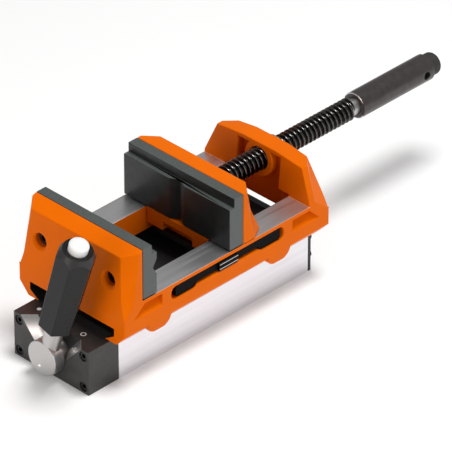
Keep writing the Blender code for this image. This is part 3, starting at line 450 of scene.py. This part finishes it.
button_white = new_finish("button_white", (0.83, 0.83, 0.82), 0.28, 0.0, 0.5)
vary(button_white, "Roughness", grain(button_white, 900), 0.24, 0.34)
button_top = 0.1100
button_radius, crown_side, crown_rise, button_foot = 0.0069, 0.0062, 0.0030, 0.0880
crown = [(button_radius - crown_side * (1 - math.sin(a)), button_top - crown_rise * (1 - math.cos(a)))
         for a in quarter[1:]]
profile = [(0, button_top)] + crown + [(button_radius, button_foot), (0, button_foot)]
place_piece(turn_profile(profile, lever_frame, 64), "plunger", "lock_button", [button_white], ["lock_button"],
            50)


# Vise casting: one iron casting with the fixed jaw, the two slideways and the spindle's upright.
# Glossy orange paint over a cast skin, with the tops of the slideways machined bright.

vise_orange = new_finish("vise_orange", (0.76, 0.136, 0.001), 0.30, 0.0, 0.07)
vise_orange.node_tree.nodes["Principled BSDF"].inputs["Specular Tint"].default_value = (1.0, 0.45, 0.04, 1)
skin = grain(vise_orange, 420, detail=3.0)
vary(vise_orange, "Base Color", grain(vise_orange, 45), (0.74, 0.132, 0.001), (0.78, 0.140, 0.001))
vary(vise_orange, "Roughness", skin, 0.27, 0.38)
relief(vise_orange, skin, 0.00012, 0.35)
way_bright = new_finish("way_bright", (0.66, 0.66, 0.66), 0.38, 1.0)
scrape = grain(way_bright, 700, (1, 0.03, 1))
vary(way_bright, "Roughness", scrape, 0.34, 0.44)
vary(way_bright, "Base Color", grain(way_bright, 90, (1, 0.3, 1)), (0.61, 0.61, 0.61), (0.70, 0.70, 0.70))
relief(way_bright, scrape, 0.00002, 0.15)
# Painted shade: a near black for the casting's faces inside the tunnel, which lie in deep shade.
tunnel_painted_shade = new_finish("tunnel_painted_shade", (0.010, 0.009, 0.009), 0.60, 0.0, 0.2)
vary(tunnel_painted_shade, "Roughness", grain(tunnel_painted_shade, 900), 0.55, 0.70)

way_top, jaw_seat, upright_face = 0.0649, -0.0686, 0.0885
rail_z, tee_z, foot_wall = 0.0432, 0.0457, 0.0420
bm = merged_copy("vise_body")

# The bolting lugs are drawn to full width and rounded at their feet.
lug_drop, lug_half, lug_side, lug_round = 0.0080, 0.0109, 0.0492, 0.0072
lug_root, lug_outer, cast_half, near = 0.0400, 0.0440, 0.0127, 0.0001
for cast_middle, lug_middle in ((-0.05465, -0.0532), (0.07625, 0.0594)):
    for vert in bm.verts:
        spot = vert.co
        if abs(spot.x) > lug_root and spot.z < rail_z + near and abs(spot.y - cast_middle) < cast_half:
            spot.y = lug_middle + math.copysign(lug_half, spot.y - cast_middle)
            if spot.z < rail_z - near:
                spot.z = rail_z - lug_drop
                if abs(spot.x) > lug_outer:
                    spot.x = math.copysign(lug_side, spot.x)
feet = [edge for edge in bm.edges if abs(edge.verts[0].co.y - edge.verts[1].co.y) < near
        and all(abs(vert.co.z - rail_z + lug_drop) < near * 2 and abs(vert.co.x) > lug_root
                for vert in edge.verts)]
bmesh.ops.bevel(bm, geom=feet, offset=lug_round, offset_type="OFFSET", segments=7, profile=0.5,
                affect="EDGES", clamp_overlap=False, material=-1)

# The deeper ends of each side slot are drawn out to the length of the bar's end blocks.
slot_middle, bulb_stretch, slot_floor = 0.0108, 0.0065, 0.0414
shoulder_low, shoulder_high, shoulder_near, shoulder_far = 0.0519, 0.0541, 0.0345, 0.0395
for vert in bm.verts:
    spot = vert.co
    along = abs(spot.y - slot_middle)
    in_shoulder = shoulder_low < spot.z < shoulder_high and shoulder_near < along < shoulder_far
    if abs(spot.x) > slot_floor and in_shoulder:
        spot.y -= math.copysign(bulb_stretch, spot.y - slot_middle)

# The tunnel's inner faces get a near black painted shade, and the tops of the ways are machined.
tunnel_front, tunnel_back = -0.0820, 0.1030
for face in bm.faces:
    spot, normal = face.calc_center_median(), face.normal
    inward = normal.x * spot.x < -0.5 * abs(spot.x) or normal.z < -0.9
    on_floor = normal.z > 0.9 or abs(normal.y) > 0.9 and tunnel_front < spot.y < tunnel_back
    if (inward or on_floor) and abs(spot.x) < foot_wall and spot.z < tee_z + near * 2:
        face.material_index = 2
    elif normal.z > 0.95 and abs(spot.z - way_top) < near * 2 and jaw_seat < spot.y < upright_face:
        face.material_index = 1
casting_round, casting_foot = 0.0006, 0.036
round_edges(bm, casting_round, 3, lambda spot: spot.z > casting_foot)
place_piece(bm, "vise_casting", "base", [vise_orange, way_bright, tunnel_painted_shade], ["vise_body"],
            30)


# Slot bars and catches: a black bar with a block at each end nearly fills the long slot of each side.
# The bar is moulded, and the steel catch on its middle carries two thin bright strips along its edges as
# painted highlights.

liner_black = new_finish("liner_black", (0.002, 0.002, 0.002), 0.50, 0.0, 0.05)
vary(liner_black, "Roughness", grain(liner_black, 1500), 0.44, 0.60)
catch_dark = new_finish("catch_dark", (0.002, 0.002, 0.002), 0.40, 0.0, 0.05)
vary(catch_dark, "Roughness", grain(catch_dark, 1800, (1, 0.1, 1)), 0.28, 0.42)
# Painted highlight: two thin bright strips on the catch stand in for the light caught along its edges.
catch_painted_highlight = new_finish("catch_painted_highlight", (0.60, 0.60, 0.58), 0.30, 1.0)
vary(catch_painted_highlight, "Roughness", grain(catch_painted_highlight, 1800), 0.25, 0.40)

bar_top, bar_waist, bar_low = 0.0616, 0.0556, 0.0525
bar_front, block_front, block_back, bar_back = -0.0376, -0.0178, 0.0400, 0.0610
bar_corner, block_ramp, bar_floor, bar_thickness = 0.0020, 0.0012, 0.0418, 0.0072
catch_size, ridge_size = (0.0014, 0.0180, 0.0070), (0.0008, 0.0172, 0.0005)
catch_x, catch_height, ridge_heights = bar_floor + bar_thickness + 0.0008, 0.0580, (0.0563, 0.0597)
ridge_x = catch_x + 0.0006
moulded_break = 0.0004
corner = [(bar_corner * math.sin(a), bar_corner * math.cos(a)) for a in quarter[::3]]
bar_outline = [(bar_back - bar_corner + y, bar_top - bar_corner + z) for y, z in corner]
bar_outline += [(bar_back - bar_corner + z, bar_low + bar_corner - y) for y, z in corner]
bar_outline += [(block_back + block_ramp, bar_low), (block_back, bar_waist), (block_front, bar_waist),
                (block_front - block_ramp, bar_low)]
bar_outline += [(bar_front + bar_corner - y, bar_low + bar_corner - z) for y, z in corner]
bar_outline += [(bar_front + bar_corner - z, bar_top - bar_corner + y) for y, z in corner]
for side, hand in (("left", -1), ("right", 1)):
    bm = bmesh.new()
    outer = bm.faces.new([bm.verts.new((hand * bar_floor, y, z)) for y, z in bar_outline])
    grown = bmesh.ops.extrude_face_region(bm, geom=[outer])
    bmesh.ops.translate(bm, vec=(hand * bar_thickness, 0, 0), verts=only(bmesh.types.BMVert, grown))
    bmesh.ops.recalc_face_normals(bm, faces=bm.faces)
    round_edges(bm, moulded_break, 2)
    place_piece(bm, f"slot_bar_{side}", "base", [liner_black], [f"slot_liner_{side}"])

    bm = bmesh.new()
    bmesh.ops.create_cube(bm, size=1.0)
    bmesh.ops.scale(bm, vec=catch_size, verts=bm.verts)
    bmesh.ops.translate(bm, vec=(hand * catch_x, slot_middle, catch_height), verts=bm.verts)
    round_edges(bm, moulded_break, 2, lambda spot: abs(spot.x) > catch_x)
    for height in ridge_heights:
        ridge = bmesh.ops.create_cube(bm, size=1.0)["verts"]
        bmesh.ops.scale(bm, vec=ridge_size, verts=ridge)
        bmesh.ops.translate(bm, vec=(hand * ridge_x, slot_middle, height), verts=ridge)
        for face in {face for vert in ridge for face in vert.link_faces}:
            face.material_index = 1
    place_piece(bm, f"slot_latch_{side}", "base", [catch_dark, catch_painted_highlight], [f"slot_catch_{side}"],
                20)


# Jaw plates: hardened steel plates screwed to both jaws, blackened on their working faces.
# Their tops and ends are ground. The fixed one has a level groove for round bars, and the
# moving one an upright one.

jaw_dark = new_finish("jaw_dark", (0.085, 0.098, 0.092), 0.50, 0.30)
speckle = grain(jaw_dark, 2600, detail=6.0)
vary(jaw_dark, "Base Color", speckle, (0.045, 0.053, 0.050), (0.125, 0.142, 0.135))
vary(jaw_dark, "Roughness", grain(jaw_dark, 1500), 0.42, 0.56)
relief(jaw_dark, speckle, 0.00003, 0.3)
jaw_black = new_finish("jaw_black", (0.020, 0.022, 0.022), 0.34, 0.3)
vary(jaw_black, "Roughness", grain(jaw_black, 600), 0.28, 0.42)
vary(jaw_black, "Base Color", grain(jaw_black, 120), (0.016, 0.018, 0.018), (0.028, 0.031, 0.030))
plate_break = 0.0004
for node, name, body, work_side in (("fixed_jaw_plate", "fixed_plate", "base", 1),
                                    ("moving_jaw_plate", "moving_plate", "moving_jaw", -1)):
    bm = merged_copy(node)
    for face in bm.faces:
        if face.normal.y * work_side > 0.3:
            face.material_index = 1
    round_edges(bm, plate_break, 2)
    place_piece(bm, name, body, [jaw_dark, jaw_black], [node])
plate_screw = (0.0049, 0.0050, 0.0030)
for side in ("left", "right"):
    socket_screw(f"fixed_plate_screw_{side}", f"fixed_jaw_screw_{side}", (0, -1, 0), plate_screw, "base")
    socket_screw(f"moving_plate_screw_{side}", f"moving_jaw_screw_{side}", (0, 1, 0), plate_screw,
                 "moving_jaw")


# Moving jaw: the second orange casting, which slides on the ways with a tongue down between them.
# A boss on its back holds the spindle's head, and the keeper plate under the ways holds it down.

bm = merged_copy("moving_jaw")
round_edges(bm, casting_round, 3)
place_piece(bm, "jaw_casting", "moving_jaw", [vise_orange], ["moving_jaw"], 30)
bm = merged_copy("keeper_plate")
round_edges(bm, plate_break, 2)
place_piece(bm, "keeper_bar", "moving_jaw", [satin_black], ["keeper_plate"])
keeper_screw = (0.0034, 0.0022, 0.0020)
for side in ("left", "right"):
    socket_screw(f"keeper_cap_screw_{side}", f"keeper_screw_{side}", (0, 0, -1), keeper_screw, "moving_jaw")


# Fork plate: a dark plate with a slot that drops over the spindle's neck and keeps its head in the jaw.
# Four small bright screws hold it to the boss.

bm = merged_copy("fork_plate")
round_edges(bm, stone_break, 2)
place_piece(bm, "fork", "moving_jaw", [jaw_dark], ["fork_plate"])
fork_screw = (0.0027, 0.0022, 0.0015)
for number in range(1, 5):
    socket_screw(f"fork_cap_screw_{number}", f"fork_screw_{number}", (0, 1, 0), fork_screw, "moving_jaw",
                 pin_bright)


# Spindle: a blackened steel screw with a coarse right-hand trapezoidal thread.
# The thread is oiled and shines along its crests, and the head and neck are turned down.

spindle_black = new_finish("spindle_black", (0.085, 0.082, 0.080), 0.20, 1.0)
oil = grain(spindle_black, 500)
vary(spindle_black, "Roughness", oil, 0.14, 0.27)
vary(spindle_black, "Base Color", grain(spindle_black, 350), (0.055, 0.053, 0.052), (0.125, 0.120, 0.117))
spindle_low, spindle_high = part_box("spindle")
spindle_z = (spindle_low.z + spindle_high.z) / 2
crest, core, pitch = 0.0080, 0.0059, 0.0040
thread_front, thread_back = 0.04855, 0.17775
steps_per_turn = 40
turns = math.ceil((thread_back - thread_front) / pitch) + 2
bm = bmesh.new()
tooth = [(core, 0.00), (core, 0.26), (core + 0.0003, 0.31), (crest - 0.0007, 0.42), (crest - 0.0002, 0.48),
         (crest, 0.57), (crest, 0.69), (crest - 0.0002, 0.78), (crest - 0.0007, 0.84), (core + 0.0003, 0.95),
         (core, 1.00)]
spots = [bm.verts.new((radius, 0, share * pitch)) for radius, share in tooth]
edges = [bm.edges.new(pair) for pair in zip(spots, spots[1:])]
bmesh.ops.spin(bm, geom=spots + edges, cent=(0, 0, 0), axis=(0, 0, 1), angle=2 * math.pi * turns,
               dvec=(0, 0, pitch / steps_per_turn), steps=steps_per_turn * turns, use_merge=False)
bmesh.ops.remove_doubles(bm, verts=bm.verts, dist=0.00001)
bmesh.ops.recalc_face_normals(bm, faces=bm.faces)
length = thread_back - thread_front
for height, way in ((pitch, -1), (pitch + length, 1)):
    bmesh.ops.bisect_plane(bm, geom=bm.verts[:] + bm.edges[:] + bm.faces[:], dist=0.000001,
                           plane_co=(0, 0, height), plane_no=(0, 0, way), clear_outer=True)
bmesh.ops.holes_fill(bm, edges=[edge for edge in bm.edges if edge.is_boundary], sides=0)
bmesh.ops.recalc_face_normals(bm, faces=bm.faces)
if bm.calc_volume(signed=True) < 0:
    bmesh.ops.reverse_faces(bm, faces=bm.faces)
bm.transform(facing((0, 1, 0), (0, thread_front - pitch, spindle_z)))
overlap = 0.001
head_radius, head_length, head_chamfer, head_neck = 0.0075, 0.0054, 0.0005, 0.0050
neck_end = spindle_low.y - thread_front - overlap
profile = [(0, 0), (head_radius - head_chamfer, 0), (head_radius, -head_chamfer), (head_radius, -head_length),
           (head_neck, -head_length), (head_neck, neck_end), (0, neck_end)]
join(bm, turn_profile(profile, facing((0, -1, 0), (0, spindle_low.y, spindle_z)), 40))
collar_radius, tail_radius, tail_end, handle_front = 0.0062, 0.0052, 0.1940, 0.1836
collar_length, tail_length = handle_front + overlap - thread_back, tail_end - thread_back
profile = [(0, -overlap), (collar_radius, -overlap), (collar_radius, collar_length),
           (tail_radius, collar_length), (tail_radius, tail_length), (0, tail_length)]
join(bm, turn_profile(profile, facing((0, 1, 0), (0, thread_back, spindle_z)), 40))
for face in bm.faces:
    if face.calc_center_median().y > thread_back + 0.0001:
        face.material_index = 1
place_piece(bm, "threaded_spindle", "spindle", [spindle_black, turned_steel], ["spindle"],
            35)


# Spindle nut: a plain round bronze bush that the spindle runs in.
# It is pressed into the upright from behind, level with its back face, and chamfered there.

nut_radius, nut_bore, nut_front, upright_back = 0.0110, 0.0083, 0.09185, 0.10725
nut_length = upright_back - nut_front
nut_chamfer, bore_chamfer = 0.0008, 0.0006
profile = [(nut_bore, 0), (nut_radius, 0), (nut_radius, nut_length - nut_chamfer),
           (nut_radius - nut_chamfer, nut_length), (nut_bore + bore_chamfer, nut_length),
           (nut_bore, nut_length - bore_chamfer), (nut_bore, 0)]
bm = turn_profile(profile, facing((0, 1, 0), (0, nut_front, spindle_z)), 64)
place_piece(bm, "bronze_nut", "base", [bush_bronze], ["spindle_nut"], 30)


# Spindle handle: a long turned steel bar on the spindle's tail, with a cross hole for a tommy bar.
# Satin black with a painted highlight of bright steel round its front rim, and a smaller rough tip that is
# rounded at its end.

handle_black = new_finish("handle_black", (0.046, 0.042, 0.040), 0.34, 0.5)
polish = grain(handle_black, 900, (1, 6, 1))
vary(handle_black, "Roughness", polish, 0.26, 0.38)
vary(handle_black, "Base Color", grain(handle_black, 200), (0.054, 0.048, 0.046), (0.074, 0.067, 0.064))
# Painted highlight: the bright chamfer round the handle's front rim stands in for the light on that edge.
rim_painted_highlight = new_finish("rim_painted_highlight", (0.62, 0.61, 0.60), 0.28, 1.0)
vary(rim_painted_highlight, "Roughness", grain(rim_painted_highlight, 2000), 0.22, 0.36)
tip_rough = new_finish("tip_rough", (0.040, 0.038, 0.036), 0.62, 0.4)
pits = grain(tip_rough, 1500, detail=6.0)
vary(tip_rough, "Roughness", pits, 0.50, 0.75)
relief(tip_rough, pits, 0.00015, 0.7)
body_radius, body_end, tip_radius, tip_end, tip_round = 0.0097, 0.2548, 0.0082, 0.2640, 0.0034
body_length, whole_length = body_end - handle_front, tip_end - handle_front
bore_fit, tail_bore, collar_bore = 0.0003, 0.0110, 0.0012
rim_width, rim_depth, end_width, end_step = 0.0007, 0.0005, 0.0008, 0.0003
rounding = [(tip_radius - tip_round * (1 - math.cos(a)), whole_length - tip_round * (1 - math.sin(a)))
            for a in quarter]
profile = [(0, tail_bore), (tail_radius + bore_fit, tail_bore), (tail_radius + bore_fit, collar_bore),
           (collar_radius + bore_fit, collar_bore), (collar_radius + bore_fit, 0),
           (body_radius - rim_width, 0), (body_radius, rim_depth), (body_radius, body_length - end_width),
           (body_radius - end_step, body_length - end_step), (body_radius - end_width, body_length),
           (tip_radius, body_length)]
profile += rounding + [(0, whole_length)]
bm = turn_profile(profile, facing((0, 1, 0), (0, handle_front, spindle_z)), 72)
rim_reach, rim_band = 0.0006, 0.0010
for face in bm.faces:
    spot = face.calc_center_median()
    away = (spot - Vector((0, spot.y, spindle_z))).length
    if spot.y > body_end + 0.0001:
        face.material_index = 2
    elif (spot.y < handle_front + rim_reach and 0.3 < abs(face.normal.y) < 0.95
          and away > body_radius - rim_band):
        face.material_index = 1
tommy_radius, tommy_y = 0.0030, 0.24675
cross = bmesh.new()
bmesh.ops.create_cone(cross, cap_ends=True, segments=32, radius1=tommy_radius, radius2=tommy_radius,
                      depth=body_radius * 3, matrix=facing((1, 0, 0), (0, tommy_y, spindle_z)))
drill_mesh = bpy.data.meshes.new("tommy_drill")
cross.to_mesh(drill_mesh)
cross.free()
drill = bpy.data.objects.new("tommy_drill", drill_mesh)
blank_mesh = bpy.data.meshes.new("handle_blank")
bm.to_mesh(blank_mesh)
bm.free()
for finish in (handle_black, rim_painted_highlight, tip_rough):
    blank_mesh.materials.append(finish)
blank = bpy.data.objects.new("handle_blank", blank_mesh)
for piece in (drill, blank):
    scene.collection.objects.link(piece)
bore = blank.modifiers.new("tommy_hole", "BOOLEAN")
bore.operation, bore.solver, bore.object = "DIFFERENCE", "EXACT", drill
bm = bmesh.new()
bm.from_object(blank, bpy.context.evaluated_depsgraph_get())
for piece in (drill, blank):
    bpy.data.objects.remove(piece)
place_piece(bm, "turned_handle", "spindle", [handle_black, rim_painted_highlight, tip_rough], ["spindle_handle"],
            40)


# Studio: a pale floor, a broad soft light above, a weaker one to the right and an even pale surround.
# The camera stands where the photograph's did.

floor_finish = bpy.data.materials.new("studio_floor")
floor_finish.use_nodes = True
floor_shader = floor_finish.node_tree.nodes["Principled BSDF"]
floor_shader.inputs["Base Color"].default_value = (0.93, 0.93, 0.93, 1)
floor_shader.inputs["Roughness"].default_value = 0.7
floor_shader.inputs["Specular IOR Level"].default_value = 0.2
floor_shader.inputs["Emission Color"].default_value = (1, 1, 1, 1)
floor_shader.inputs["Emission Strength"].default_value = 0.07
bm = bmesh.new()
bmesh.ops.create_grid(bm, x_segments=1, y_segments=1, size=6.0)
mesh = bpy.data.meshes.new("studio_floor")
bm.to_mesh(mesh)
bm.free()
mesh.materials.append(floor_finish)
floor = bpy.data.objects.new("studio_floor", mesh)
scene.collection.objects.link(floor)

world = bpy.data.worlds.new("studio")
scene.world = world
world.use_nodes = True
tree = world.node_tree
surround = tree.nodes["Background"]
surround.inputs["Color"].default_value = (1, 1, 1, 1)
surround.inputs["Strength"].default_value = 0.33
seen = tree.nodes.new("ShaderNodeBackground")
seen.inputs["Color"].default_value = (1, 1, 1, 1)
seen.inputs["Strength"].default_value = 1.0
rays = tree.nodes.new("ShaderNodeLightPath")
mix = tree.nodes.new("ShaderNodeMixShader")
tree.links.new(rays.outputs["Is Camera Ray"], mix.inputs["Fac"])
tree.links.new(surround.outputs["Background"], mix.inputs[1])
tree.links.new(seen.outputs["Background"], mix.inputs[2])
tree.links.new(mix.outputs["Shader"], tree.nodes["World Output"].inputs["Surface"])


def soft_light(name, power, size, place, target, colour=(1, 1, 1)):
    """A square area light that faces its target."""
    lamp = bpy.data.lights.new(name, "AREA")
    lamp.energy = power
    lamp.color = colour
    lamp.size = size
    light = bpy.data.objects.new(name, lamp)
    light.location = place
    light.rotation_euler = (Vector(target) - Vector(place)).to_track_quat("-Z", "Y").to_euler()
    scene.collection.objects.link(light)


centre_of_work = (0, 0.03, 0.05)
soft_light("light_above", 18.5, 0.5, (0.25, 0.15, 1.6), centre_of_work)
soft_light("light_right", 5.5, 1.2, (1.5, -0.1, 0.55), centre_of_work)
soft_light("light_front", 7.0, 0.8, (0.0, -1.6, 0.40), centre_of_work, (1.0, 0.90, 0.87))

azimuth, elevation, distance = math.radians(44.68), math.radians(33.41), 3.8925
back = Vector((math.sin(azimuth) * math.cos(elevation), -math.cos(azimuth) * math.cos(elevation),
               math.sin(elevation)))
right = Vector((math.cos(azimuth), math.sin(azimuth), 0))
up = back.cross(right)
looked_at, beside, above = Vector((0, -0.00505, 0.040)), 0.04513, 0.02567
aim = looked_at + right * beside + up * above
lens = bpy.data.cameras.new("camera")
lens.sensor_width = 36.0
lens.lens = 463.9
lens.clip_end = 50.0
camera = bpy.data.objects.new("camera", lens)
turned = Matrix((right, up, back)).transposed().to_4x4()
camera.matrix_world = Matrix.Translation(aim + back * distance) @ turned
scene.collection.objects.link(camera)
scene.camera = camera
scene.view_settings.view_transform = "Standard"
